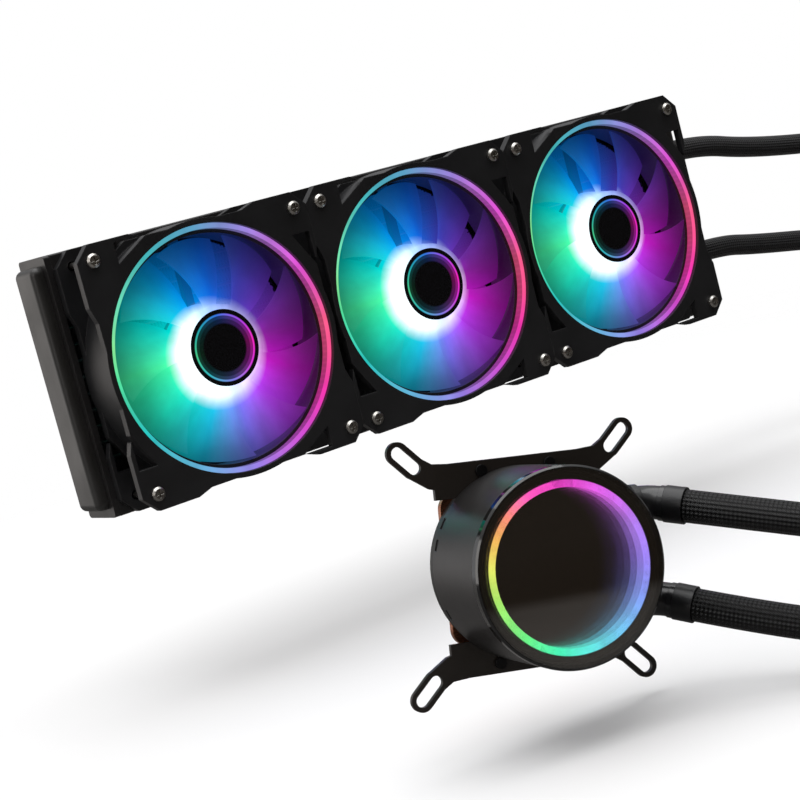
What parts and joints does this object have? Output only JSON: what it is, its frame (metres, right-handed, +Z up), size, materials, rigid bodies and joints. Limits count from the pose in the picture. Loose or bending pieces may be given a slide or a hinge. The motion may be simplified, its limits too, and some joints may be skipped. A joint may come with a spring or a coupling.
{
  "type": "liquid cpu cooler",
  "caption": "Closed-loop liquid cooler: long radiator with a row of ring-lit fans, two sleeved hoses and a round mirror-faced pump head on a slotted bracket.",
  "frame": {"origin": "centre of the middle fan's screw pattern on the radiator's rear face", "axes": "+X along the radiator towards its hose ports, +Y out of its rear face, +Z up along its short side; the fans face -Y"},
  "size_m": [0.5708, 0.4072, 0.2055],
  "materials": {
    "core_black": "flat black coating",
    "fin_black": "flat black coating",
    "radiator_black": "satin black powder coat",
    "tank_black": "satin black powder coat",
    "fan_black": "fine textured moulding",
    "ring_light": "milky diffuser, lit in a slow run of colours",
    "rotor_frosted": "frosted translucent",
    "hub_mirror": "dark half mirror",
    "shaft_steel": "ground",
    "bearing_brass": "sintered",
    "stator_steel": "laminated steel with lacquered wire",
    "screw_nickel": "black nickel",
    "fitting_black": "glossy moulding",
    "plug_red": "soft red",
    "pump_satin": "satin black anodising",
    "deck_black": "moulded",
    "impeller_white": "moulded",
    "ceramic": "ground ceramic",
    "copper": "milled copper",
    "bracket_black": "black zinc on steel",
    "screw_black": "blackened",
    "bezel_gloss": "piano black",
    "mirror_glass": "half mirror",
    "mirror": "silvered",
    "board": "solder masked",
    "hose_sleeve": "woven nylon sleeve over rubber",
    "cuff_black": "heat-shrunk"
  },
  "bodies": {
    "root": {"water_tubes": "core_black", "fin_strips": "fin_black", "header_plate_left": "radiator_black", "header_plate_right": "radiator_black", "end_tank_return": "tank_black", "end_tank_ports": "tank_black", "side_rail_top": "radiator_black", "side_rail_bottom": "radiator_black", "radiator_barb_upper": "fitting_black", "radiator_barb_lower": "fitting_black", "fill_plug": "plug_red", "fan_left_frame": "fan_black", "fan_left_light_ring": "ring_light", "fan_left_bearing": "bearing_brass", "fan_left_stator": "stator_steel", "fan_middle_frame": "fan_black", "fan_middle_light_ring": "ring_light", "fan_middle_bearing": "bearing_brass", "fan_middle_stator": "stator_steel", "fan_right_frame": "fan_black", "fan_right_light_ring": "ring_light", "fan_right_bearing": "bearing_brass", "fan_right_stator": "stator_steel", "fan_screws": "screw_nickel", "pump_housing": "pump_satin", "pump_deck": "deck_black", "chamber_lid": "deck_black", "impeller_pin": "ceramic", "pump_stator": "stator_steel", "cold_plate": "copper", "jet_plate": "deck_black", "bracket_upper": "bracket_black", "bracket_lower": "bracket_black", "bracket_screws": "screw_black", "pump_bezel": "bezel_gloss", "mirror_glass": "mirror_glass", "pump_ring_light": "ring_light", "rear_mirror": "mirror", "light_board": "board", "elbow_upper": "fitting_black", "elbow_lower": "fitting_black", "hose_upper": "hose_sleeve", "hose_lower": "hose_sleeve", "cuff_upper": "cuff_black", "cuff_lower": "cuff_black"},
    "fan_left_wheel": {"fan_left_rotor": "rotor_frosted", "fan_left_hub_mirror": "hub_mirror", "fan_left_hub_ring": "ring_light", "fan_left_shaft": "shaft_steel"},
    "fan_middle_wheel": {"fan_middle_rotor": "rotor_frosted", "fan_middle_hub_mirror": "hub_mirror", "fan_middle_hub_ring": "ring_light", "fan_middle_shaft": "shaft_steel"},
    "fan_right_wheel": {"fan_right_rotor": "rotor_frosted", "fan_right_hub_mirror": "hub_mirror", "fan_right_hub_ring": "ring_light", "fan_right_shaft": "shaft_steel"},
    "impeller_wheel": {"impeller": "impeller_white"}
  },
  "joints": [
    {"name": "fan_left_spin", "type": "hinge", "parent": "root", "child": "fan_left_wheel", "pos_m": [-0.12, -0.04, 0], "axis": [0, -1, 0], "continuous": true},
    {"name": "fan_middle_spin", "type": "hinge", "parent": "root", "child": "fan_middle_wheel", "pos_m": [0, -0.04, 0], "axis": [0, -1, 0], "continuous": true},
    {"name": "fan_right_spin", "type": "hinge", "parent": "root", "child": "fan_right_wheel", "pos_m": [0.12, -0.04, 0], "axis": [0, -1, 0], "continuous": true},
    {"name": "impeller_spin", "type": "hinge", "parent": "root", "child": "impeller_wheel", "pos_m": [-0.1519, -0.2742, -0.0867], "axis": [-0.2541, -0.9657, 0.0532], "continuous": true}
  ]
}
